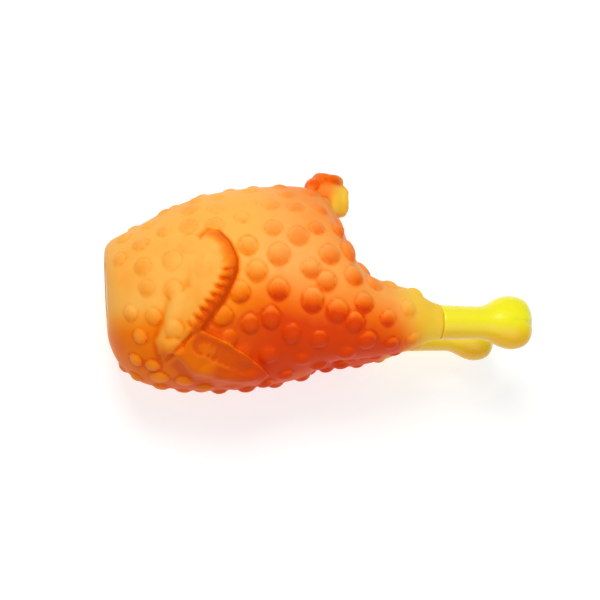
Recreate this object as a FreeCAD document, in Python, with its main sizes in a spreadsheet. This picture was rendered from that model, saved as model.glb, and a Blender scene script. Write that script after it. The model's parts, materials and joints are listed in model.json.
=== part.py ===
"""Roast-chicken squeaky toy: a hollow vinyl skin, two plug-in leg bones and a push-in reed squeaker.

The toy lies on its side. +X runs from the flat neck end to the leg bones, +Y from the breast to the back
and tail, +Z from the side it lies on to the side that faces up. Its plane of symmetry is level, at mid_z.
All lengths are in millimetres and all angles in degrees.
"""

import FreeCAD
import Part
import Sketcher
import math
import os

Vector = FreeCAD.Vector
Rotation = FreeCAD.Rotation
Placement = FreeCAD.Placement

# Driving dimensions. Places on the toy are measured from its middle, in the plane of symmetry; depths in
# the squeaker are measured inwards from the neck face, and heights on a bone outwards from its seam.
DIMS = {
    # where the middle of the toy ends up
    "mid_x": 0.2,
    "mid_y": -1.15,
    "mid_z": 41.4,
    # skin, and the half width between the flats that it takes where it lies on either side
    "rest_half": 41.4,
    "slab_long": 400.0,
    "slab_wide": 200.0,
    "wall": 2.3,
    "neck_wall": 3.0,
    "neck_x": -103.0,
    "neck_y": -9.0,
    "tail_x": 6.0,
    "tail_y": 45.5,
    "tail_long": 12.8,
    "tail_wide": 12.0,
    "tail_thick": 11.0,
    # wing: an upper arm that hangs from the shoulder, and a tip folded back along the breast
    "arm_x": -63.5,
    "arm_y": -11.5,
    "arm_z": 32.5,
    "arm_long": 30.0,
    "arm_wide": 12.5,
    "arm_thick": 9.5,
    "tip_x": -54.5,
    "tip_y": -44.0,
    "tip_z": 22.5,
    "tip_long": 27.0,
    "tip_wide": 9.5,
    "tip_thick": 8.5,
    # leg seam, where the drumstick ends and the bone plugs in
    "seam_x": 56.9,
    "seam_y": -21.33,
    "seam_z": 21.13,
    "seam_hole": 4.5,
    "seam_gap": 0.3,
    # bone
    "root_r": 8.35,
    "waist_r": 7.7,
    "hollow_r": 5.2,
    "waist_up": 23.5,
    "hollow_up": 34.5,
    "knob_up": 39.7,
    "knob_out": 5.2,
    "knob_in": 5.6,
    "knob_big": 8.0,
    "knob_small": 7.4,
    "plug_r": 4.4,
    "plug_bore": 2.6,
    "catch_r": 5.2,
    "catch_gap": 0.3,
    "catch_long": 2.2,
    # seat of the squeaker in the neck
    "seat_bore": 12.0,
    "seat_r": 15.4,
    "seat_deep": 13.4,
    "recess_r": 14.3,
    "recess_deep": 2.1,
    # squeaker housing
    "flange_r": 14.0,
    "flange_top": 0.5,
    "flange_low": 2.1,
    "barrel_r": 11.9,
    "barrel_low": 19.0,
    "snap_r": 12.9,
    "snap_top": 13.6,
    "snap_low": 16.6,
    "snap_edge": 0.8,
    "core_bore": 7.0,
    "front_low": 2.8,
    "sound_r": 1.0,
    "sound_ring": 4.2,
    # whistle inside the housing
    "tube_r": 6.9,
    "tube_bore": 5.0,
    "tube_top": 3.0,
    "tube_low": 17.0,
    "bed_r": 4.9,
    "bed_top": 3.2,
    "bed_low": 16.9,
    "trough_half": 1.4,
    "trough_deep": 2.6,
    "trough_low": 15.4,
    "wedge_low": 8.2,
    "wedge_lift": 0.7,
    "nose_lift": 0.28,
    "nose_top": 7.7,
    "nose_half": 2.4,
    "reed_wide": 4.4,
    "reed_thick": 0.2,
    "reed_top": 3.5,
    "reed_low": 16.3,
    "reed_lift": 0.03,
    "reed_rise": 0.57,
    # perforated cap behind the whistle
    "cap_r": 6.95,
    "cap_top": 17.3,
    "cap_low": 18.7,
    "vent_r": 1.2,
    "vent_ring": 4.0,
}

# Torso sections across X: where each stands, the height of its middle, its half height, its half width.
TORSO = [
    (-103.0, -9.0, 21.0, 20.0),
    (-100.5, -10.0, 25.8, 24.5),
    (-95.0, -12.1, 32.8, 29.5),
    (-87.0, -13.5, 39.2, 33.2),
    (-75.0, -10.2, 44.3, 36.0),
    (-57.0, -7.0, 49.0, 38.2),
    (-37.0, -4.0, 50.5, 38.8),
    (-17.0, -0.7, 50.4, 37.5),
    (-3.0, 1.0, 48.2, 33.5),
    (8.0, 2.4, 38.6, 25.5),
    (16.0, 3.2, 23.0, 16.0),
    (20.5, 3.5, 11.0, 7.5),
]
# Leg sections along its axis: distance back from the seam, rise of its middle, half height, half width.
LEG = [
    (0.0, 0.1, 8.6, 8.6),
    (4.0, 0.3, 9.4, 9.4),
    (7.5, 0.7, 11.4, 11.4),
    (11.0, 1.0, 13.4, 13.2),
    (16.0, 1.3, 15.2, 15.0),
    (24.5, 1.2, 17.4, 17.2),
    (32.5, 1.7, 19.5, 19.0),
    (39.5, 3.1, 21.7, 20.4),
    (47.5, 8.8, 28.2, 22.3),
    (56.5, 16.2, 35.8, 23.1),
    (67.5, 17.8, 37.6, 23.4),
    (80.5, 17.8, 34.8, 21.6),
    (91.5, 17.4, 26.0, 15.8),
    (97.5, 17.0, 14.0, 8.0),
]
SECTION_KEYS = ("at", "mid", "high", "wide")
for loft_name, rows in (("torso", TORSO), ("leg", LEG)):
    for row, sizes in enumerate(rows):
        DIMS.update({f"{loft_name}{row}_{key}": size for key, size in zip(SECTION_KEYS, sizes)})

NECK_TILT = 5.0
LEG_YAW = 1.1
LEG_SPLAY = 2.2
ARM_LEAN = 20.0
TIP_LEAN = 97.0
TIP_TILT = 35.0
SOUND_HOLES = 6
VENT_HOLES = 5

# Turns an ellipse's own X, Y and Z onto the row's Y, Z and X, so that it stands across the toy.
ACROSS = Rotation(Vector(1, 1, 1), 120)


# ---------------------------------------------------------------- sums of spreadsheet cells


def number(total):
    """The value of a sum of cell names and plain numbers, such as "tube_low - 1"."""
    value, sign = 0.0, 1.0
    for word in total.split():
        if word in ("+", "-"):
            sign = -1.0 if word == "-" else 1.0
        else:
            value += sign * (DIMS[word] if word in DIMS else float(word))
    return value


def formula(total):
    """The same sum as an expression that reads the spreadsheet."""
    return " ".join(f"Dims.{word}" if word in DIMS else word for word in total.split())


def bind(thing, **sums):
    """Binds properties to sums of cells; a double underscore in a name stands for a dot."""
    for path, total in sums.items():
        thing.setExpression(path.replace("__", "."), formula(total))


def fill_sheet(doc):
    sheet = doc.addObject("Spreadsheet::Sheet", "Dims")
    for line, (alias, value) in enumerate(DIMS.items(), start=1):
        sheet.set(f"A{line}", alias)
        sheet.set(f"B{line}", str(value))
        sheet.setAlias(f"B{line}", alias)
    doc.recompute()


# ---------------------------------------------------------------- frames


def toy_frame():
    """Lifts a piece from the plane of symmetry to where the toy lies."""
    return Placement(Vector(DIMS["mid_x"], DIMS["mid_y"], DIMS["mid_z"]), Rotation())


def neck_frame():
    """+Z points out of the flat neck end, +Y is the row's +Z, and the origin is on the neck face."""
    tilt = math.radians(NECK_TILT)
    outward = Vector(-math.cos(tilt), -math.sin(tilt), 0)
    sideways = Vector(math.sin(tilt), -math.cos(tilt), 0)
    turn = Rotation(sideways, Vector(0, 0, 1), outward, "ZXY")
    return Placement(Vector(DIMS["neck_x"], DIMS["neck_y"], 0), turn)


def leg_frame(side):
    """+Z runs along the leg to the bone's end, +X is nearly the row's +Y, and the origin is at the seam."""
    yaw, splay = math.radians(LEG_YAW), math.radians(LEG_SPLAY)
    flat = math.cos(splay)
    along = Vector(flat * math.cos(yaw), flat * math.sin(yaw), side * math.sin(splay))
    turn = Rotation(Vector(0, 1, 0), Vector(), along, "ZXY")
    return Placement(Vector(DIMS["seam_x"], DIMS["seam_y"], side * DIMS["seam_z"]), turn)


# ---------------------------------------------------------------- helpers for the skin


def add(doc, kind, name):
    return doc.addObject(f"Part::{kind}", name)


def fuse(doc, name, shapes):
    joined = add(doc, "MultiFuse", name)
    joined.Shapes = shapes
    return joined


def combine(doc, kind, name, base, tool):
    """A Cut or a Common of two objects."""
    result = add(doc, kind, name)
    result.Base = base
    result.Tool = tool
    return result


def mirror(doc, name, source):
    other = add(doc, "Mirroring", name)
    other.Source = source
    other.Normal = Vector(0, 0, 1)
    return other


def loft(doc, name, rings):
    solid = add(doc, "Loft", name)
    solid.Sections = rings
    solid.Solid = True
    return solid


def ring(doc, name, source, inset):
    """An ellipse with the half height and half width of one section, drawn in by a sum of cells."""
    ellipse = add(doc, "Ellipse", name)
    bind(ellipse, MajorRadius=f"{source}_high - {inset}", MinorRadius=f"{source}_wide - {inset}")
    return ellipse


def ball(doc, name, key, turn):
    """An ellipsoid whose place and radii are the cells that share a key; its long radius is its own Y."""
    solid = add(doc, "Ellipsoid", name)
    solid.Angle1 = -90
    solid.Placement = Placement(Vector(), turn)
    bind(solid, Radius1=f"{key}_thick", Radius2=f"{key}_wide", Radius3=f"{key}_long")
    bind(solid, Placement__Base__x=f"{key}_x", Placement__Base__y=f"{key}_y")
    if f"{key}_z" in DIMS:
        bind(solid, Placement__Base__z=f"{key}_z")
    return solid


def neck_cylinder(doc, name, radius, deep, proud):
    """A cylinder about the squeaker's axis, from a depth in the neck to a height outside it."""
    rod = add(doc, "Cylinder", name)
    bind(rod, Radius=radius, Height=f"{deep} + {proud}")
    rod.Placement = neck_frame().multiply(Placement(Vector(0, 0, -number(deep)), Rotation()))
    return rod


# ---------------------------------------------------------------- skin


def torso(doc, name, inset, end_inset):
    """The plucked torso. Its first section lies in the tilted neck face; the others are upright."""
    rings = []
    for row in range(len(TORSO)):
        ellipse = ring(doc, f"{name}_ring{row}", f"torso{row}", inset)
        if row == 0:
            drawn_in = Placement(Vector(0, 0, -number(end_inset)), Rotation())
            ellipse.Placement = neck_frame().multiply(drawn_in)
        else:
            at = f"torso{row}_at - {end_inset}" if row == len(TORSO) - 1 else f"torso{row}_at"
            ellipse.Placement = Placement(Vector(), ACROSS)
            bind(ellipse, Placement__Base__x=at, Placement__Base__y=f"torso{row}_mid")
        rings.append(ellipse)
    return loft(doc, name, rings)


def leg(doc, name, inset):
    """The thigh and drumstick in one, from the seam back into the torso."""
    rings = []
    for row in range(len(LEG)):
        ellipse = ring(doc, f"{name}_ring{row}", f"leg{row}", inset)
        bind(ellipse, Placement__Base__x=f"leg{row}_mid")
        bind(ellipse, Placement__Base__z=f"0 - leg{row}_at" if row else f"0 - {inset}")
        rings.append(ellipse)
    solid = loft(doc, name, rings)
    solid.Placement = leg_frame(1)
    return solid


def resting_slab(doc):
    """The room between the two flats on which the soft skin rests."""
    slab = add(doc, "Box", "resting_slab")
    bind(slab, Length="slab_long", Width="slab_wide", Height="rest_half + rest_half")
    slab.Placement.Base = Vector(-number("slab_long") / 2, -number("slab_wide") / 2, -number("rest_half"))
    return slab


def seam_hole(doc):
    """The hole in the drumstick's end that a bone's plug goes through."""
    hole = add(doc, "Cylinder", "seam_hole_near")
    bind(hole, Radius="seam_hole", Height="wall + 2")
    hole.Placement = leg_frame(1).multiply(Placement(Vector(0, 0, -number("wall + 1")), Rotation()))
    return hole


def body_shell(doc):
    """The one-piece hollow skin, open at the neck for the squeaker and at both seams for the bones."""
    upright = Rotation(Vector(0, 0, 1), -ARM_LEAN)
    folded = Rotation(Vector(1, 0, 0), TIP_TILT).multiply(Rotation(Vector(0, 0, 1), -TIP_LEAN))
    near_out = fuse(doc, "near_side", [
        leg(doc, "leg_out", "0"),
        ball(doc, "wing_arm", "arm", upright),
        ball(doc, "wing_tip", "tip", folded),
    ])
    rounded = fuse(doc, "rounded", [
        torso(doc, "torso_out", "0", "0"),
        near_out,
        mirror(doc, "far_side", near_out),
        ball(doc, "tail_stump", "tail", Rotation()),
    ])
    outside = combine(doc, "Common", "outside", rounded, resting_slab(doc))
    near_in = leg(doc, "leg_in", "wall")
    inside = fuse(doc, "inside", [
        torso(doc, "torso_in", "wall", "neck_wall"),
        near_in,
        mirror(doc, "far_inside", near_in),
    ])
    collar = neck_cylinder(doc, "seat_collar", "seat_r", "seat_deep", "0 - 0.2")
    with_collar = fuse(doc, "with_collar", [combine(doc, "Cut", "hollow", outside, inside), collar])
    near_hole = seam_hole(doc)
    openings = fuse(doc, "openings", [
        neck_cylinder(doc, "seat_hole", "seat_bore", "barrel_low", "1"),
        neck_cylinder(doc, "seat_recess", "recess_r", "recess_deep", "1"),
        near_hole,
        mirror(doc, "seam_hole_far", near_hole),
    ])
    return combine(doc, "Cut", "body_shell", with_collar, openings)


# ---------------------------------------------------------------- helpers for turned and padded pieces


def new_body(doc, name, frame):
    body = doc.addObject("PartDesign::Body", name)
    body.Placement = toy_frame().multiply(frame)
    return body


def on_plane(body, feature, role, height):
    """Attaches a feature to one of the body's own planes, moved off it by a sum of cells."""
    plane = next(item for item in body.Origin.OriginFeatures if item.Role == role)
    feature.AttachmentSupport = [(plane, "")]
    feature.MapMode = "FlatFace"
    bind(feature, AttachmentOffset__Base__z=height)


def new_sketch(body, name, role, height="0"):
    sketch = body.newObject("Sketcher::SketchObject", name)
    on_plane(body, sketch, role, height)
    return sketch


def pin(sketch, geometry, point, across, up):
    """Fixes one point of a sketch at two sums of cells."""
    for kind, axis, total in (("DistanceX", -2, across), ("DistanceY", -1, up)):
        if number(total) == 0:
            sketch.addConstraint(Sketcher.Constraint("PointOnObject", geometry, point, axis))
            continue
        index = sketch.addConstraint(Sketcher.Constraint(kind, -1, 1, geometry, point, number(total)))
        bind(sketch, **{f"Constraints[{index}]": total})


def draw_outline(sketch, corners):
    """A closed outline of straight edges through corners given as pairs of sums."""
    points = [Vector(number(across), number(up), 0) for across, up in corners]
    edges = [Part.LineSegment(start, points[(i + 1) % len(points)]) for i, start in enumerate(points)]
    sketch.addGeometry(edges, False)
    for edge in range(len(edges)):
        following = (edge + 1) % len(edges)
        sketch.addConstraint(Sketcher.Constraint("Coincident", edge, 2, following, 1))
    for edge, (across, up) in enumerate(corners):
        pin(sketch, edge, 1, across, up)
    return sketch


def draw_circle(sketch, radius, across="0", up="0"):
    centre = Vector(number(across), number(up), 0)
    sketch.addGeometry(Part.Circle(centre, Vector(0, 0, 1), number(radius)), False)
    pin(sketch, 0, 3, across, up)
    index = sketch.addConstraint(Sketcher.Constraint("Radius", 0, number(radius)))
    bind(sketch, **{f"Constraints[{index}]": radius})
    return sketch


def turn_profile(body, kind, name, corners):
    """Turns an outline of (radius, height) corners about the body's Z axis, as a Revolution or a Groove."""
    sketch = draw_outline(new_sketch(body, f"{name}_profile", "XZ_Plane"), corners)
    feature = body.newObject(f"PartDesign::{kind}", name)
    feature.Profile = sketch
    feature.ReferenceAxis = (sketch, ["V_Axis"])
    feature.Angle = 360
    return feature


def pad(body, name, sketch, length):
    feature = body.newObject("PartDesign::Pad", name)
    feature.Profile = sketch
    bind(feature, Length=length)
    return feature


def pocket(body, name, sketch):
    """Cuts a sketch right through the body, towards its +Z."""
    feature = body.newObject("PartDesign::Pocket", name)
    feature.Profile = sketch
    feature.Type = "ThroughAll"
    feature.Reversed = True
    return feature


def ring_of_holes(body, name, radius, pitch, low, count):
    """A ring of round holes through a disc, from its low face up."""
    sketch = draw_circle(new_sketch(body, f"{name}_circle", "XY_Plane", low), radius, pitch)
    first = pocket(body, f"{name}_first", sketch)
    pattern = body.newObject("PartDesign::PolarPattern", f"{name}_ring")
    pattern.Originals = [first]
    pattern.Axis = (sketch, ["N_Axis"])
    pattern.Angle = 360
    pattern.Occurrences = count
    body.Tip = pattern


def box_corners(left, right, low, high):
    return [(left, low), (right, low), (right, high), (left, high)]


# ---------------------------------------------------------------- bones


def bone(doc, name, side):
    """A hollow leg bone: catch and plug inside the drumstick, a waisted shaft and a two-lobed knob."""
    body = new_body(doc, name, leg_frame(side))
    turn_profile(body, "Revolution", f"{name}_shaft", [
        ("plug_bore", "0 - wall - catch_gap - catch_long"),
        ("catch_r", "0 - wall - catch_gap - catch_long"),
        ("catch_r", "0 - wall - catch_gap"),
        ("plug_r", "0 - wall - catch_gap"),
        ("plug_r", "seam_gap"),
        ("root_r", "seam_gap"),
        ("waist_r", "waist_up"),
        ("waist_r", "knob_up"),
        ("plug_bore", "knob_up"),
    ])
    for lobe, out, radius in (("big", "knob_out", "knob_big"), ("small", "0 - knob_in", "knob_small")):
        knob = body.newObject("PartDesign::AdditiveSphere", f"{name}_{lobe}_lobe")
        on_plane(body, knob, "XY_Plane", "knob_up")
        bind(knob, Radius=radius, AttachmentOffset__Base__x=out)
    turn_profile(body, "Groove", f"{name}_hollow", [
        ("0", "seam_gap + wall"),
        ("hollow_r", "seam_gap + wall"),
        ("hollow_r", "hollow_up"),
        ("0", "hollow_up"),
    ])
    return body


# ---------------------------------------------------------------- squeaker


def squeaker_housing(doc):
    """The push-in body: flange, barrel with a snap bead, and a pierced front wall."""
    body = new_body(doc, "squeaker_housing", neck_frame())
    turn_profile(body, "Revolution", "housing_turned", [
        ("sound_r", "0 - flange_top"),
        ("flange_r", "0 - flange_top"),
        ("flange_r", "0 - flange_low"),
        ("barrel_r", "0 - flange_low"),
        ("barrel_r", "0 - snap_top"),
        ("snap_r", "0 - snap_top - snap_edge"),
        ("snap_r", "0 - snap_low + snap_edge"),
        ("barrel_r", "0 - snap_low"),
        ("barrel_r", "0 - barrel_low"),
        ("core_bore", "0 - barrel_low"),
        ("core_bore", "0 - front_low"),
        ("sound_r", "0 - front_low"),
    ])
    ring_of_holes(body, "sound", "sound_r", "sound_ring", "0 - front_low", SOUND_HOLES)
    return body


def reed_tube(doc):
    """The sleeve that holds the reed's bed and wedge together."""
    body = new_body(doc, "reed_tube", neck_frame())
    turn_profile(body, "Revolution", "tube_turned",
                 box_corners("tube_bore", "tube_r", "0 - tube_low", "0 - tube_top"))
    return body


def round_bar(body, name, low, length):
    """A bar of the bed's radius, from a depth up towards the neck face."""
    sketch = draw_circle(new_sketch(body, f"{name}_circle", "XY_Plane", low), "bed_r")
    return pad(body, name, sketch, length)


def reed_holder(doc):
    """The half-round bed under the reed, with its air trough open towards the sound holes."""
    body = new_body(doc, "reed_holder", neck_frame())
    round_bar(body, "bed_bar", "0 - bed_low", "bed_low - bed_top")
    upper_half = new_sketch(body, "bed_flat", "XY_Plane", "0 - bed_low")
    pocket(body, "bed_halved", draw_outline(upper_half, box_corners("0 - bed_r", "bed_r", "0", "bed_r")))
    slot = new_sketch(body, "trough_outline", "XY_Plane", "0 - trough_low")
    draw_outline(slot, box_corners("0 - trough_half", "trough_half", "0 - trough_deep", "1"))
    pocket(body, "trough", slot)
    return body


def reed_wedge(doc):
    """The pad over the reed's root, with the nose that grips the reed along one line."""
    body = new_body(doc, "reed_wedge", neck_frame())
    round_bar(body, "wedge_bar", "0 - wedge_low", "wedge_low - bed_top")
    under = new_sketch(body, "wedge_flat", "XY_Plane", "0 - wedge_low")
    draw_outline(under, box_corners("0 - bed_r", "bed_r", "0 - bed_r", "wedge_lift"))
    pocket(body, "wedge_cut", under)
    nose = new_sketch(body, "nose_outline", "XY_Plane", "0 - wedge_low")
    draw_outline(nose, box_corners("0 - nose_half", "nose_half", "nose_lift", "wedge_lift + 1"))
    pad(body, "nose", nose, "wedge_low - nose_top")
    return body


def reed(doc):
    """The thin strip: a flat root under the wedge and a tongue that rises off the trough."""
    body = new_body(doc, "reed", neck_frame())
    profile = draw_outline(new_sketch(body, "reed_profile", "YZ_Plane"), [
        ("reed_lift", "0 - reed_top"),
        ("reed_lift", "0 - wedge_low"),
        ("reed_lift + reed_rise", "0 - reed_low"),
        ("reed_lift + reed_rise + reed_thick", "0 - reed_low"),
        ("reed_lift + reed_thick", "0 - wedge_low"),
        ("reed_lift + reed_thick", "0 - reed_top"),
    ])
    strip = pad(body, "reed_strip", profile, "reed_wide")
    strip.Midplane = True
    return body


def squeaker_cap(doc):
    """The perforated disc pressed in behind the whistle."""
    body = new_body(doc, "squeaker_cap", neck_frame())
    disc = draw_circle(new_sketch(body, "cap_circle", "XY_Plane", "0 - cap_low"), "cap_r")
    pad(body, "cap_disc", disc, "cap_low - cap_top")
    ring_of_holes(body, "vent", "vent_r", "vent_ring", "0 - cap_low", VENT_HOLES)
    return body


# ---------------------------------------------------------------- build and write


def check(doc, nodes):
    for item in doc.Objects:
        if "Invalid" in item.State or "Error" in item.State:
            raise RuntimeError(f"{item.Name} did not recompute: {item.State}")
    for node in nodes:
        shape = node.Shape
        if shape.isNull() or not shape.isValid() or len(shape.Solids) != 1:
            raise RuntimeError(f"{node.Label} is not one valid solid")


def main():
    doc = FreeCAD.newDocument("roast_chicken_toy")
    fill_sheet(doc)
    shell = body_shell(doc)
    shell.Placement = toy_frame()
    nodes = [
        shell,
        bone(doc, "near_bone", 1),
        bone(doc, "far_bone", -1),
        squeaker_housing(doc),
        reed_tube(doc),
        reed_holder(doc),
        reed_wedge(doc),
        reed(doc),
        squeaker_cap(doc),
    ]
    doc.recompute()
    check(doc, nodes)
    os.makedirs("parts", exist_ok=True)
    for node in nodes:
        node.Label = node.Name
        node.Shape.exportStep(f"parts/{node.Label}.step")
        box = node.Shape.BoundBox
        print(f"{node.Label}: volume {node.Shape.Volume:.0f}, box {box.XLength:.1f} x {box.YLength:.1f}"
              f" x {box.ZLength:.1f}, from {box.XMin:.1f} {box.YMin:.1f} {box.ZMin:.1f}")


main()
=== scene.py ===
"""Looks of the roast-chicken squeaky toy: the plucked, airbrushed vinyl skin, the glossy leg bones and the
squeaker in the neck. The soft pieces are level sets, worked out in millimetres about the toy's middle and
turned into meshes in the row's frame."""

import json
import math

import bpy
import numpy as np
import openvdb
from mathutils import Matrix, Vector


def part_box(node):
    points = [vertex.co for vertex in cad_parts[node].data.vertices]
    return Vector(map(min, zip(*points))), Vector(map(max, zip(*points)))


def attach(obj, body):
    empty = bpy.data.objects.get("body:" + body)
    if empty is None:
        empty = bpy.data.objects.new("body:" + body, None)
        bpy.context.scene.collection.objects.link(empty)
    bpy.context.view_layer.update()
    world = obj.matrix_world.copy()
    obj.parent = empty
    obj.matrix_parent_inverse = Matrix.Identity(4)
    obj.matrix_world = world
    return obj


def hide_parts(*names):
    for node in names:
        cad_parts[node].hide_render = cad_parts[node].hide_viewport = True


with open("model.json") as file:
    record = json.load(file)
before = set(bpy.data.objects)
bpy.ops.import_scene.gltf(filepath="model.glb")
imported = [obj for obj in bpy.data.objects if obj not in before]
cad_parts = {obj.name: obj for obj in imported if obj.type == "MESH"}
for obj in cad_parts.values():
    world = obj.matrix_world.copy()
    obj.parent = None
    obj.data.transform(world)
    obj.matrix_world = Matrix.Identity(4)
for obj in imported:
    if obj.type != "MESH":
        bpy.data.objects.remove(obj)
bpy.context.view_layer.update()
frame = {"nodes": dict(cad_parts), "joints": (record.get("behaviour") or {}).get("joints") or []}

MM = 0.001
SEED = 11
JOINTS = {joint["name"]: joint for joint in frame["joints"]}

# ---------------------------------------------------------------- places, in mm about the toy's middle

SEAM = np.array([56.9, -21.33, 21.13])
NEAR_SEAM = np.array(JOINTS["near_bone_swivel"]["pos_m"]) / MM
MIDDLE = NEAR_SEAM - SEAM
LEG_AXIS = np.array(JOINTS["near_bone_swivel"]["axis"])
SHELL_LOW, SHELL_HIGH = (np.array(corner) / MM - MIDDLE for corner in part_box("body_shell"))
NECK = np.array([-103.0, -9.0, 0.0])
NECK_OUT = np.array([-math.cos(math.radians(5.0)), -math.sin(math.radians(5.0)), 0.0])

# Torso sections across X: where each stands, the height of its middle, its half height, its half width.
TORSO = [
    (-112.0, -8.5, 20.0, 19.0),
    (-103.5, -9.4, 24.3, 22.2),
    (-95.0, -12.3, 32.3, 29.0),
    (-87.0, -13.6, 38.4, 32.6),
    (-75.0, -10.5, 43.7, 35.4),
    (-57.0, -7.1, 48.3, 37.4),
    (-37.0, -4.0, 49.9, 38.0),
    (-17.0, -1.0, 49.7, 37.0),
    (-3.0, 0.9, 47.6, 33.0),
    (7.0, 1.8, 38.0, 25.4),
    (12.0, 0.6, 28.5, 19.6),
    (16.0, -0.2, 18.5, 13.6),
    (20.0, 0.0, 9.5, 7.0),
    (24.0, 0.0, 2.0, 2.0),
]
# Leg sections along its axis: place past the seam, rise of its middle, half height, half width.
LEG = [
    (-101.5, 17.0, 4.0, 3.0),
    (-97.5, 17.0, 13.0, 7.5),
    (-91.5, 17.4, 25.0, 15.0),
    (-80.5, 17.8, 33.9, 20.8),
    (-67.5, 17.8, 36.8, 22.6),
    (-56.5, 16.2, 35.0, 22.3),
    (-47.5, 8.8, 27.4, 21.5),
    (-39.5, 3.1, 20.9, 19.6),
    (-32.5, 1.7, 18.8, 18.2),
    (-24.5, 1.2, 16.9, 16.6),
    (-16.0, 1.4, 15.0, 14.7),
    (-11.0, 1.1, 13.2, 13.0),
    (-7.5, 0.7, 10.8, 10.8),
    (-5.0, 0.3, 9.2, 9.2),
    (0.0, 0.1, 8.7, 8.7),
    (8.0, 0.0, 7.5, 7.5),
]
TAIL_LOBES = [
    ((5.0, 43.5, 0.0), (10.0, 12.5, 10.0)),
    ((-0.5, 50.5, 0.0), (5.0, 4.6, 7.0)),
    ((4.0, 54.6, 0.0), (4.2, 3.4, 5.5)),
    ((10.0, 53.6, 0.0), (4.2, 3.8, 6.0)),
    ((13.4, 47.5, 0.0), (4.2, 4.0, 6.0)),
    ((14.0, 40.5, 0.0), (3.6, 4.6, 5.0)),
]
# The folded wing's outline on the side of the body, and its tip pad's, whose first points are its upper edge.
WING_ARM = [
    (-60.5, 17.0), (-54.0, 15.5), (-49.0, 9.5), (-45.5, 1.5), (-45.5, -4.0), (-48.0, -11.5), (-51.0, -18.0),
    (-55.5, -24.5), (-60.0, -31.0), (-66.0, -37.0), (-76.5, -46.5), (-80.5, -42.0), (-82.0, -36.0),
    (-79.5, -28.5), (-76.5, -15.5), (-80.0, 0.0), (-76.0, 14.0),
]
TIP_EDGE = [(-62.5, -30.0), (-52.0, -34.0), (-40.5, -40.0), (-31.5, -45.0), (-25.5, -49.0)]
TIP_UNDERSIDE = [
    (-30.0, -53.5), (-38.0, -54.5), (-50.0, -53.5), (-61.0, -51.5), (-79.0, -47.5), (-76.0, -38.0),
]
WING_TIP = TIP_EDGE + TIP_UNDERSIDE
TIP_HOLLOW = [(-61.0, -38.5), (-39.5, -46.0)]
ELBOW_BUMPS = [(-72.0, -31.5), (-72.5, -38.5), (-81.0, -46.5)]

BUMP_SPACING = 10.3
BUMP_RADII = (3.9, 4.6)
BUMP_STRETCH = (1.0, 1.25)
ELBOW_BUMP_HEIGHT = 1.6
# Radius and depth below the neck face of the flange's recess and the barrel's seat.
FLANGE_RECESS = (14.3, 2.1)
BARREL_SEAT = (12.1, 21.0)
# Radius and depth of the hole that a bone's plug goes into.
PLUG_HOLE = (5.5, 6.0)
# A bone's shaft: distance past its seam, radius.
SHAFT = [(0, 8.6), (4, 8.5), (12, 8.2), (23, 8.1), (32, 8.3), (42, 7.4)]
SHAFT_END = 40.5


# ---------------------------------------------------------------- fields


class Grid:
    """Even points over a box, in mm about the toy's middle, and what a field's value is between them."""

    def __init__(self, low, high, step):
        self.low, self.step = np.array(low, float), step
        count = np.ceil((np.array(high) - low) / step).astype(int) + 1
        lines = [np.arange(n, dtype=np.float32) * step + l for n, l in zip(count, low)]
        self.x, self.y, self.z = np.meshgrid(*lines, indexing="ij", sparse=True)
        self.shape = tuple(count)

    def read(self, field, points):
        at = (points - self.low) / self.step
        cell = np.clip(np.floor(at).astype(int), 0, np.array(self.shape) - 2)
        part = np.clip(at - cell, 0, 1)
        total = np.zeros(len(points))
        for corner in np.ndindex(2, 2, 2):
            weight = np.prod(np.where(corner, part, 1 - part), axis=1)
            total += weight * field[tuple((cell + corner).T)]
        return total

    def slopes(self, field, points):
        moves = np.eye(3) * self.step
        return np.stack([self.read(field, points + m) - self.read(field, points - m) for m in moves], 1)

    def as_distance(self, field):
        """A field whose zero is right, scaled so that it grows by one a millimetre."""
        steep = np.sqrt(sum(g * g for g in np.gradient(field, self.step)))
        return (field / np.maximum(steep, 1e-3)).astype(np.float32)


def smooth_rows(rows, reach, step=0.5):
    """A table of sections at even places, with the corners between its rows rounded over a reach."""
    rows = np.array(rows, float)
    at = np.arange(rows[0, 0], rows[-1, 0] + step, step)
    width = max(int(reach / step), 1)
    kernel = np.ones(width) / width
    columns = []
    for column in rows.T[1:]:
        line = np.interp(at, rows[:, 0], column)
        for _ in range(2):
            padded = np.pad(line, width, mode="reflect", reflect_type="odd")
            line = np.convolve(padded, kernel, "same")[width:-width]
        columns.append(line)
    return at, columns


def sections(grid, rows, along, up, across, reach):
    """The distance to a body given by elliptic sections along a line, closed at both ends."""
    at, (middle, high, wide) = smooth_rows(rows, reach)
    high, wide = np.maximum(high, 1.0), np.maximum(wide, 1.0)
    m, h, w = (np.interp(along, at, column).astype(np.float32) for column in (middle, high, wide))
    reached = np.sqrt(((up - m) / h) ** 2 + (across / w) ** 2)
    flat = ((up - m) ** 2 / h ** 4 + across ** 2 / w ** 4) / np.maximum(reached, 1e-3) ** 2
    total = sum(g * g for g in np.gradient(reached, grid.step))
    steep = np.sqrt(np.maximum(flat, 1e-6) + np.clip(total - flat, 0, 1.5 * flat))
    body = (reached - 1) / np.maximum(steep, 1e-3)
    return carve(carve(body, along - at[-1], 2.0), at[0] - along, 2.0)


def ellipsoid(grid, centre, radii):
    scaled = [(a - c) / r for a, c, r in zip((grid.x, grid.y, grid.z), centre, radii)]
    return grid.as_distance(np.sqrt(sum(s * s for s in scaled)) - 1)


def join(a, b, blend):
    """The union of two distances, with the inner corner filled over a blend length."""
    near = np.maximum(blend - np.abs(a - b), 0) / blend
    return np.minimum(a, b) - near * near * blend / 4


def carve(a, b, blend):
    """What is inside both distances, with the outer corner rounded."""
    return -join(-a, -b, blend)


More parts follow.
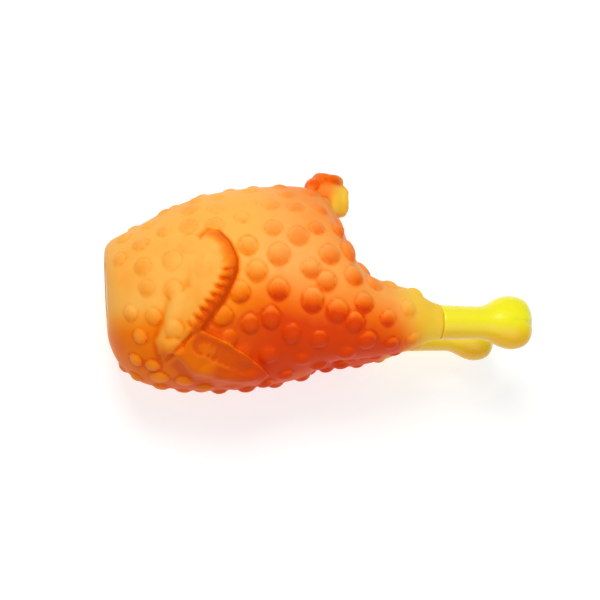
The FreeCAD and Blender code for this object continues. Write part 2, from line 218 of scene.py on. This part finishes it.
def line_distance(x, y, points):
    """Distance to a run of straight edges in the XY plane."""
    nearest = np.full(np.broadcast_shapes(x.shape, y.shape), np.inf)
    for (ax, ay), (bx, by) in zip(points, points[1:]):
        ex, ey = bx - ax, by - ay
        t = np.clip(((x - ax) * ex + (y - ay) * ey) / (ex * ex + ey * ey), 0, 1)
        nearest = np.minimum(nearest, (x - ax - t * ex) ** 2 + (y - ay - t * ey) ** 2)
    return np.sqrt(nearest)


def outline_distance(x, y, corners):
    """Distance to a closed outline in the XY plane, below zero inside it."""
    closed = corners + corners[:1]
    inside = np.zeros(np.broadcast_shapes(x.shape, y.shape), bool)
    for (ax, ay), (bx, by) in zip(closed, closed[1:]):
        if ay != by:
            inside ^= ((ay > y) != (by > y)) & (x < (bx - ax) * (y - ay) / (by - ay) + ax)
    return np.where(inside, -1, 1) * line_distance(x, y, closed)


def ease(value, start, end):
    t = np.clip((value - start) / (end - start), 0, 1)
    return t * t * (3 - 2 * t)


# ---------------------------------------------------------------- meshes


def field_mesh(name, grid, field):
    """The zero surface of a field as a smooth mesh in the row's frame, with its points pulled onto it."""
    volume = openvdb.FloatGrid(float(field.max()))
    volume.copyFromArray(field)
    points, quads = volume.convertToQuads()
    points = points * grid.step + grid.low
    for _ in range(2):
        slope = grid.slopes(field, points) / (2 * grid.step)
        steep = np.maximum((slope * slope).sum(1), 0.05)
        points -= slope * np.clip(grid.read(field, points) / steep, -0.3, 0.3)[:, None]
    corners = points[quads[:, :3]]
    normals = np.cross(corners[:, 1] - corners[:, 0], corners[:, 2] - corners[:, 0])
    if (normals * grid.slopes(field, corners.mean(1))).sum() < 0:
        quads = quads[:, ::-1]
    mesh = bpy.data.meshes.new(name)
    mesh.from_pydata(((points + MIDDLE) * MM).tolist(), [], quads.tolist())
    mesh.shade_smooth()
    obj = bpy.data.objects.new(name, mesh)
    bpy.context.scene.collection.objects.link(obj)
    return obj, points


def store(obj, name, values):
    layer = obj.data.attributes.new(name, "FLOAT", "POINT")
    layer.data.foreach_set("value", np.asarray(values, np.float32))


# ---------------------------------------------------------------- skin


def leg_coordinates(x, y, z):
    """Place along the leg past its seam, rise towards the back and depth to the side, for either leg."""
    along = LEG_AXIS
    rise = np.cross([0, 0, 1.0], along)
    rise /= np.linalg.norm(rise)
    side = np.cross(along, rise)
    offset = (x - SEAM[0], y - SEAM[1], np.abs(z) - SEAM[2])
    return tuple(sum(o * float(d) for o, d in zip(offset, axis)) for axis in (along, rise, side))


def neck_coordinates(x, y, z):
    """Height above the flat neck face, and distance from the squeaker's axis."""
    height = (x - NECK[0]) * NECK_OUT[0] + (y - NECK[1]) * NECK_OUT[1]
    across = -(x - NECK[0]) * NECK_OUT[1] + (y - NECK[1]) * NECK_OUT[0]
    return height, np.sqrt(across * across + z * z)


def plain_skin(grid):
    """The plucked body before its wings and bumps: torso, thighs, drumsticks and tail."""
    x, y, z = grid.x, grid.y, grid.z
    torso = sections(grid, TORSO, x, y, z, reach=9)
    along, rise, side = leg_coordinates(x, y, z)
    leg = sections(grid, LEG, along, rise, side, reach=7)
    skin = join(torso, carve(leg, along, 0.6), 9.0)
    tail = None
    for centre, radii in TAIL_LOBES:
        lobe = ellipsoid(grid, centre, radii)
        tail = lobe if tail is None else join(tail, lobe, 2.5)
    skin = join(skin, tail, 2.5)
    height, _ = neck_coordinates(x, y, z)
    return carve(skin, height, 6.0)


def ridge(away, width):
    return np.exp(-((away / width) ** 2))


def tip_hollow(x, y):
    """Place along the tip pad's hollow from 0 to 1, and distance from its middle line."""
    (ax, ay), (bx, by) = TIP_HOLLOW
    ex, ey = bx - ax, by - ay
    along = ((x - ax) * ex + (y - ay) * ey) / (ex * ex + ey * ey)
    return along, line_distance(x, y, TIP_HOLLOW)


def wing_relief(x, y):
    """How far the folded wing stands off the side of the body, and how much of it is wing."""
    arm = -outline_distance(x, y, WING_ARM)
    behind = ease(x - 0.145 * y, -67.0, -59.0)
    elbow = 0.85 * ease(y, -10.0, -20.0)
    arm_step = ease(arm, -0.5, 1.9 + 13.0 * (1 - np.maximum(behind, elbow)))
    rim = ridge(arm - 3.4, 2.6) * behind * ease(y, -40.0, -33.0)
    turn = np.arctan2(y + 2.0, x + 86.0)
    across = (((turn + 0.02) / 0.125) % 1.0 - 0.5) * 0.125 * 41
    feathers = ease(turn, -0.02, -0.12) * ease(turn, -1.02, -0.9)
    grooves = ridge(across, 1.0) * feathers * ease(arm, 8.5, 5.5)
    arm_height = arm_step * (2.6 + 1.9 * behind + 1.4 * rim - 2.3 * grooves * behind)
    tip = -outline_distance(x, y, WING_TIP)
    tip_step = ease(tip, -0.4, 1.7 + 7.0 * ease(x, -62.0, -72.0))
    place, away = tip_hollow(x, y)
    hollow = ease(away, 4.6, 2.4)
    barbs = ridge(((place * 7.0) % 1.0 - 0.5) * 3.2, 0.75) * hollow
    barbs *= ease(place, 0.0, 0.1) * ease(place, 1.0, 0.9)
    edge = ridge(line_distance(x, y, TIP_EDGE) - 0.7, 0.75)
    tip_height = tip_step * (3.9 - 0.9 * hollow - 0.45 * barbs + 0.7 * edge)
    shoulder = ease(y, 19.0, 6.0)
    height = -join(-arm_height * shoulder, -tip_height, 3.0)
    return height * np.maximum(arm_step, tip_step), np.maximum(arm_step * shoulder, tip_step)


def spread(points, spacing, rng):
    """Centres about one spacing apart over a cloud of surface points, evened out."""
    free = np.ones(len(points), bool)
    centres = []
    for index in rng.permutation(len(points)):
        if free[index]:
            centres.append(points[index])
            free &= ((points - points[index]) ** 2).sum(1) > spacing ** 2
    centres = np.array(centres)
    for _ in range(6):
        owner = np.array([((centres - p) ** 2).sum(1).argmin() for p in points])
        for k in range(len(centres)):
            own = points[owner == k]
            if len(own):
                centres[k] = own[((own - own.mean(0)) ** 2).sum(1).argmin()]
    return centres


def bump_strength(points):
    """How high the bumps stand at places on the body: bold on the thigh, low on the back and wing."""
    x, y, z = points.T
    along, _, _ = leg_coordinates(x, y, z)
    height, _ = neck_coordinates(x, y, z)
    low = ease(y, 34.0, 6.0)
    rear = ease(x, -60.0, -44.0)
    strength = 1.3 + 0.4 * low + 0.75 * low * rear
    strength = np.where(along > -37.5, 1.7, strength) * ease(along, -6.0, -12.0)
    _, wing = wing_relief(x, y)
    strength *= 1 - 0.62 * wing * (np.abs(z) > 8)
    return strength * ease(height, -3.5, -7.0)


def bump_places(grid, skin, rng):
    """Centres of the bumps on the skin and how high each stands."""
    shell = np.argwhere(np.abs(skin) < 0.35 * grid.step)
    cloud = shell[rng.choice(len(shell), 9000, replace=False)] * grid.step + grid.low
    centres = spread(cloud, BUMP_SPACING, rng)
    strengths = bump_strength(centres)
    for x, y in ELBOW_BUMPS:
        for side in (1, -1):
            own = cloud[cloud[:, 2] * side > 8]
            place = own[((own[:, :2] - (x, y)) ** 2).sum(1).argmin()]
            strengths[((centres - place) ** 2).sum(1) < 64] = 0
            centres, strengths = np.vstack([centres, place]), np.append(strengths, ELBOW_BUMP_HEIGHT)
    return centres, strengths


def bump_relief(grid, skin, rng):
    """The field of domes all over the skin."""
    relief = np.zeros(grid.shape, np.float32)
    for centre, strength in zip(*bump_places(grid, skin, rng)):
        small = 0.78 if centre[1] > 14 or centre[0] < -80 else 0.84 if centre[0] > 22 else 1.0
        radius = rng.uniform(*BUMP_RADII) * small
        stretch = rng.uniform(*BUMP_STRETCH)
        if strength < 0.08:
            continue
        reach = radius * stretch + grid.step
        first = np.maximum(np.floor((centre - reach - grid.low) / grid.step).astype(int), 0)
        last = np.minimum(np.ceil((centre + reach - grid.low) / grid.step).astype(int) + 1, grid.shape)
        window = tuple(slice(a, b) for a, b in zip(first, last))
        x, y, z = (grid.x[window[0]], grid.y[:, window[1]], grid.z[:, :, window[2]])
        away = (x - centre[0]) ** 2 + ((y - centre[1]) / stretch) ** 2 + (z - centre[2]) ** 2
        dome = strength * np.maximum(1 - away / radius ** 2, 0) ** 0.62
        relief[window] = np.maximum(relief[window], dome)
    return relief


def make_skin():
    """The whole plucked skin, wings and bumps included, with its holes, its airbrush marks and its painted
    shade.
    """
    step = 0.92
    margin = 4.0
    grid = Grid(SHELL_LOW - margin, SHELL_HIGH + margin, step)
    rng = np.random.default_rng(SEED)
    skin = carve(plain_skin(grid), np.abs(grid.z) + SHELL_LOW[2] - 0.6, 3.0)
    sides = ease(np.abs(grid.z), 4.0, 9.0)
    skin = skin - wing_relief(grid.x, grid.y)[0] * sides
    bumps = bump_relief(grid, skin, rng)
    skin = skin - bumps
    height, off_axis = neck_coordinates(grid.x, grid.y, grid.z)
    recess = np.maximum(off_axis - FLANGE_RECESS[0], -height - FLANGE_RECESS[1])
    seat = np.maximum(off_axis - BARREL_SEAT[0], -height - BARREL_SEAT[1])
    along, rise, side = leg_coordinates(grid.x, grid.y, grid.z)
    plug = np.maximum(np.sqrt(rise * rise + side * side) - PLUG_HOLE[0], -along - PLUG_HOLE[1])
    skin = np.maximum(skin, -np.minimum(np.minimum(recess, seat), plug))
    floor = SHELL_LOW[2] + 0.05
    skin = np.maximum(skin, floor - grid.z).astype(np.float32)
    obj, points = field_mesh("plucked_skin", grid, skin)
    x, y, z = points.T
    on_side = ease(np.abs(z), 4.0, 9.0)
    store(obj, "crease_shade", crease_shade(grid, skin, points))
    dome = np.clip(grid.read(bumps, points) / 1.6, 0, 1)
    # The roast layer holds the airbrush's depth together with painted shade and painted highlights.
    store(obj, "roast", roast(points, on_side, facing_down(obj), dome))
    store(obj, "red", ease(x - 0.1 * y, -47.0, -20.0))
    store(obj, "gold", gold(points))
    return obj


def crease_shade(grid, field, points):
    """How hollow the surface is: 1 in a bump's root or a feather's groove, 0 where it swells; it paints shade
    into those hollows.
    """
    bend = sum(np.gradient(g, grid.step, axis=axis) for axis, g in enumerate(np.gradient(field, grid.step)))
    return np.clip(-0.1 - grid.read(bend, points) / 0.45, 0, 1)


def facing_down(obj):
    """How far the skin faces the breast side, from -1 to 1, for painting shade on the undersides."""
    normals = np.empty(3 * len(obj.data.vertices), np.float32)
    obj.data.vertices.foreach_get("normal", normals)
    return -normals.reshape(-1, 3)[:, 1]


def roast(points, on_side, down, dome):
    """How deeply the skin is airbrushed, with painted shade where it faces the breast side and under the wing
    pad, and painted highlights on the lower neck's bump tops.
    """
    x, y, z = points.T
    along, _, _ = leg_coordinates(x, y, z)
    thigh = ease(x, -62.0, -34.0)
    low_neck = (1 - thigh) * ease(y, -20.0, -34.0)
    spray_and_shade = 0.14 + 0.7 * thigh * ease(y, -3.0, -30.0) + 0.66 * low_neck - 0.1 * ease(x, -84.0, -92.0)
    spray_and_shade += 0.3 * ridge((x - 18.0) + 0.5 * (y + 4.0), 15.0) * ease(y, -22.0, -4.0)
    spray_and_shade += 0.22 * ease(x, -48.0, -18.0) * ease(y, -2.0, 22.0)
    spray_and_shade *= 1 - 0.3 * ease(x, 0.0, 25.0) - 0.3 * ease(along, -33.5, -17.5)
    spray_and_shade *= 1 - 0.6 * ease(np.abs(z), 22.0, 8.0) * ease(y, -30.0, -42.0) * thigh
    # Painted shade: skin facing the breast side, away from the key light, is drawn deeper and skin facing the
    # back lighter, most of all on the thigh.
    spray_and_shade += (0.18 + 0.42 * thigh) * np.clip(down, -0.5, 0.9)
    # Bump tops are sprayed deeper; on the lower neck they are drawn lighter instead, a painted highlight.
    spray_and_shade += (0.24 - 0.5 * low_neck) * dome - 0.06
    arm = -outline_distance(x, y, WING_ARM)
    behind = ease(x - 0.145 * y, -67.0, -58.0)
    tip = -outline_distance(x, y, WING_TIP)
    rim = ease(arm, 8.5, 3.0) * ease(arm, -0.8, 0.4) * behind * (0.84 + 0.1 * ease(y, 2.0, -18.0))
    rim *= ease(y, 18.0, 12.0) * (1 - 0.7 * ease(y, -32.0, -38.0))
    pad = ease(tip, -0.5, 1.5 + 6.0 * ease(x, -60.0, -74.0)) * (0.52 + 0.36 * ease(x, -62.0, -30.0))
    edge = ridge(line_distance(x, y, TIP_EDGE) - 0.7, 0.8) * ease(x, -64.0, -58.0)
    # Painted shadow: a dark line drawn along the wing pad's lower edge, where it stands over the belly.
    pad_shadow = ridge(tip + 0.8, 1.3) * ease(y, -44.0, -47.0) * ease(x, -80.0, -74.0)
    plain = spray_and_shade * (1 - on_side * ease(arm, -0.5, 3.0) * ease(y, -42.0, -36.0) * 0.6)
    wing = np.maximum(rim, pad) * (1 - 0.75 * edge) + 0.75 * pad_shadow
    tail = 0.55 * ease(y, 47.0, 52.0) * ease(x, -7.0, 1.0)
    return np.clip(np.maximum(plain, wing * on_side) + tail, 0, 1.15)


def gold(points):
    """How far the skin's colour has gone to yellow: at the shank's end and under the tail."""
    x, y, z = points.T
    along, _, _ = leg_coordinates(x, y, z)
    under_tail = ease(x + 0.5 * (47 - y), 5.0, 12.0) * ease(x, 2.0, 7.0)
    under_tail *= ease(y, 32.0, 37.0) * ease(y, 52.5, 47.5)
    return np.maximum(ease(along + 0.3 * (y + 21), -27.5, -7.5), 0.85 * under_tail)


# ---------------------------------------------------------------- bones


def make_bone(name, side):
    """A glossy leg bone: plug and catch, waisted shaft and a knob of two lobes with a groove between."""
    low, high = (np.array(corner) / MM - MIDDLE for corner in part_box(name))
    grid = Grid(low - 2.5, high + 2.5, 0.5)
    axis = LEG_AXIS * (1, 1, side)
    rise = np.cross([0, 0, 1.0], axis)
    rise /= np.linalg.norm(rise)
    across = np.cross(axis, rise)
    offset = (grid.x - SEAM[0], grid.y - SEAM[1], grid.z - side * SEAM[2])
    s, u, v = (sum(o * float(d) for o, d in zip(offset, line)) for line in (axis, rise, across))
    round_about = np.sqrt(u * u + v * v)
    at, (radius,) = smooth_rows(SHAFT, 5)
    shaft = round_about - np.interp(s, at, radius)
    shaft = carve(carve(shaft, 0.1 - s, 0.8), s - SHAFT_END, 3.0)

    def lobe(out, along, radii):
        parts = ((s - along) / radii[0], (u - out) / radii[1], v / radii[2])
        return grid.as_distance(np.sqrt(sum(p * p for p in parts)) - 1)

    knob = join(lobe(5.0, 37.1, (10.6, 8.6, 8.6)), lobe(-4.9, 37.7, (9.8, 8.0, 8.3)), 9.0)
    bone = join(shaft, knob, 7.0)
    groove = ridge(u + 1.2 + 0.12 * (s - 46.5), 0.9) * ease(s, 33.0, 38.0) * ease(np.abs(v), 1.0, 4.5)
    bone = bone + 0.9 * groove
    plug = np.maximum(round_about - 4.4, np.abs(s + 1.2) - 2.0)
    catch = np.maximum(round_about - 5.2, np.abs(s + 3.7) - 1.1)
    bone = np.minimum(bone, np.minimum(plug, catch)).astype(np.float32)
    obj, points = field_mesh(name + "_moulded", grid, bone)
    reach = (points - SEAM * (1, 1, side)) @ axis
    store(obj, "along", ease(reach, 0.0, 46.5))
    # Painted shade: the under layer marks the bone's underside, away from the key light.
    store(obj, "under", ease(points[:, 1] - SEAM[1], 2.0, -10.0))
    return obj


# ---------------------------------------------------------------- materials


def tone(red, green, blue):
    """A colour as screens show it, turned into light."""
    return tuple((c / 255) ** 2.2 for c in (red, green, blue)) + (1.0,)


class Nodes:
    """A material's node tree, with a short way to add a node and link its inputs."""

    def __init__(self, name):
        self.material = bpy.data.materials.new(name)
        self.material.use_nodes = True
        self.tree = self.material.node_tree
        self.shader = self.tree.nodes["Principled BSDF"]

    def add(self, kind, settings=(), **inputs):
        node = self.tree.nodes.new("ShaderNode" + kind)
        for key, value in dict(settings).items():
            setattr(node, key, value)
        self.feed(node, **inputs)
        return node

    def feed(self, node, **inputs):
        for key, value in inputs.items():
            key = key.replace("_", " ")
            socket = node.inputs[int(key[1:])] if key[0] == "i" and key[1:].isdigit() else node.inputs[key]
            if isinstance(value, bpy.types.NodeSocket):
                self.tree.links.new(value, socket)
            else:
                socket.default_value = value

    def attribute(self, name):
        return self.add("Attribute", {"attribute_name": name}).outputs["Fac"]

    def mix(self, factor, first, second, blend="MIX"):
        node = self.add("Mix", {"data_type": "RGBA", "blend_type": blend}, i0=factor, i6=first, i7=second)
        return node.outputs[2]

    def maths(self, operation, first, second=0.0):
        return self.add("Math", {"operation": operation}, i0=first, i1=second).outputs[0]

    def noise(self, scale, detail=3.0, roughness=0.55):
        place = self.add("TexCoord").outputs["Object"]
        node = self.add("TexNoise", Vector=place, Scale=scale, Detail=detail, Roughness=roughness)
        return node.outputs["Fac"]

    def ramp(self, factor, stops):
        node = self.add("ValToRGB", Fac=factor)
        ramp = node.color_ramp
        while len(ramp.elements) < len(stops):
            ramp.elements.new(0.5)
        for element, (place, colour) in zip(ramp.elements, stops):
            element.position, element.color = place, colour
        return node.outputs["Color"]

    def bump(self, height, strength, distance, below=None):
        links = {"Height": height, "Strength": strength, "Distance": distance}
        if below is not None:
            links["Normal"] = below
        return self.add("Bump", **links).outputs["Normal"]


def skin_material():
    """Airbrushed vinyl: peach under an orange to red spray, yellow at the shank, with painted shade in its
    hollows and on its undersides.
    """
    n = Nodes("roasted_vinyl")
    cloud = n.noise(34.0, 3.0)
    mottle = n.maths("MULTIPLY", n.maths("SUBTRACT", cloud, 0.5), 0.8)
    depth = n.maths("ADD", n.attribute("roast"), mottle)
    # Painted shade: the colour is drawn deeper in bump roots and feather grooves.
    depth = n.maths("ADD", depth, n.maths("MULTIPLY", n.attribute("crease_shade"), 0.45))
    orange = n.ramp(depth, [
        (0.0, tone(254, 180, 80)),
        (0.35, tone(253, 152, 44)),
        (0.7, tone(248, 124, 8)),
        (1.0, tone(228, 88, 0)),
    ])
    red = n.ramp(depth, [
        (0.0, tone(254, 170, 84)),
        (0.35, tone(252, 142, 54)),
        (0.7, tone(248, 106, 14)),
        (1.0, tone(226, 68, 0)),
    ])
    body = n.mix(n.attribute("red"), orange, red)
    yellow = n.mix(n.noise(60.0), tone(255, 196, 54), tone(255, 216, 70))
    body = n.mix(n.attribute("gold"), body, yellow)
    n.feed(n.shader, Base_Color=body, Roughness=0.45)
    n.feed(n.shader, Subsurface_Weight=0.05, Subsurface_Scale=0.0015, Subsurface_Radius=(1.0, 0.4, 0.1))
    n.feed(n.shader, Specular_IOR_Level=0.08)
    fine = n.bump(n.noise(900.0, 2.0), 0.10, 0.0004)
    n.feed(n.shader, Normal=n.bump(n.noise(160.0, 3.0), 0.16, 0.0010, fine))
    return n.material


def bone_material():
    """Glossy yellow vinyl, drawn a little deeper orange on its underside as painted shade."""
    n = Nodes("glossy_yellow_vinyl")
    body = n.mix(n.attribute("along"), tone(255, 243, 46), tone(255, 249, 14))
    # Painted shade: deeper orange-yellow on the underside.
    body = n.mix(n.maths("MULTIPLY", n.attribute("under"), 0.9), body, tone(244, 174, 0))
    body = n.mix(n.maths("MULTIPLY", n.noise(70.0), 0.2), body, tone(252, 222, 30))
    n.feed(n.shader, Base_Color=body, Roughness=0.24, Specular_IOR_Level=0.5)
    n.feed(n.shader, Subsurface_Weight=0.15, Subsurface_Scale=0.004, Subsurface_Radius=(1.0, 0.7, 0.1))
    n.feed(n.shader, Normal=n.bump(n.noise(220.0, 3.0), 0.12, 0.0008))
    return n.material


def plastic_material(name, light, dark, roughness):
    """Moulded plastic with faint flow marks."""
    n = Nodes(name)
    n.feed(n.shader, Base_Color=n.mix(n.noise(300.0, 4.0), light, dark), Roughness=roughness)
    n.feed(n.shader, Normal=n.bump(n.noise(1500.0, 2.0), 0.08, 0.0002))
    return n.material


def dress(obj, material):
    obj.data.materials.clear()
    obj.data.materials.append(material)


# ---------------------------------------------------------------- the toy

skin = make_skin()
dress(skin, skin_material())
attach(skin, "body")
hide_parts("body_shell")

yellow_vinyl = bone_material()
for bone_name, bone_side in (("near_bone", 1), ("far_bone", -1)):
    bone = make_bone(bone_name, bone_side)
    dress(bone, yellow_vinyl)
    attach(bone, bone_name)
    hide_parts(bone_name)

white_plastic = plastic_material("squeaker_plastic", tone(236, 236, 228), tone(222, 221, 212), 0.38)
whistle_plastic = plastic_material("whistle_plastic", tone(226, 228, 224), tone(206, 208, 204), 0.45)
reed_film = plastic_material("reed_film", tone(214, 218, 216), tone(196, 202, 202), 0.2)
for node in ("squeaker_housing", "squeaker_cap"):
    dress(frame["nodes"][node], white_plastic)
for node in ("reed_tube", "reed_holder", "reed_wedge"):
    dress(frame["nodes"][node], whistle_plastic)
dress(frame["nodes"]["reed"], reed_film)

# ---------------------------------------------------------------- studio


def in_row(point):
    """A point in mm about the toy's middle, in the row's frame."""
    return Vector((np.array(point, float) + MIDDLE) * MM)


def make_floor():
    bpy.ops.mesh.primitive_plane_add(size=8.0)
    floor = bpy.context.object
    floor.name = "floor"
    paper = Nodes("white_paper")
    paper.feed(paper.shader, Base_Color=(0.5, 0.5, 0.5, 1), Roughness=0.9, Specular_IOR_Level=0.0)
    paper.feed(paper.shader, Emission_Color=(1.0, 1.0, 1.0, 1), Emission_Strength=0.65)
    dress(floor, paper.material)


def add_area(name, at, size, power, colour=(1, 1, 1)):
    lamp = bpy.data.lights.new(name, "AREA")
    lamp.size, lamp.energy, lamp.color = size, power, colour
    obj = bpy.data.objects.new(name, lamp)
    obj.location = in_row(at)
    obj.rotation_euler = (in_row((0, 0, 0)) - obj.location).to_track_quat("-Z", "Y").to_euler()
    bpy.context.scene.collection.objects.link(obj)


def add_camera():
    """Looks down at the toy's near side from 450 mm, a little from the neck and from the breast."""
    target, far, yaw, roll = np.array([-8.0, -9.0, 0.0]), 450.0, math.radians(13), math.radians(11)
    back = np.array([-math.sin(yaw) * math.cos(roll), -math.sin(roll), math.cos(yaw) * math.cos(roll)])
    right = np.cross([0, 1.0, 0], back)
    right /= np.linalg.norm(right)
    up = np.cross(back, right)
    lens = bpy.data.cameras.new("camera")
    lens.sensor_width, lens.lens = 36.0, 54.0
    camera = bpy.data.objects.new("camera", lens)
    turn = Matrix((right, up, back)).transposed().to_4x4()
    camera.matrix_world = Matrix.Translation(in_row(target + far * back)) @ turn
    bpy.context.scene.collection.objects.link(camera)
    bpy.context.scene.camera = camera


def light_studio():
    scene = bpy.context.scene
    scene.view_settings.view_transform = "Standard"
    world = bpy.data.worlds.new("studio")
    world.use_nodes = True
    world.node_tree.nodes["Background"].inputs["Color"].default_value = (1, 1, 1, 1)
    world.node_tree.nodes["Background"].inputs["Strength"].default_value = 0.36
    scene.world = world
    add_area("key", (-130, 200, 500), 0.2, 1.72)
    add_area("fill", (100, -330, 380), 0.4, 0.5)


make_floor()
add_camera()
light_studio()
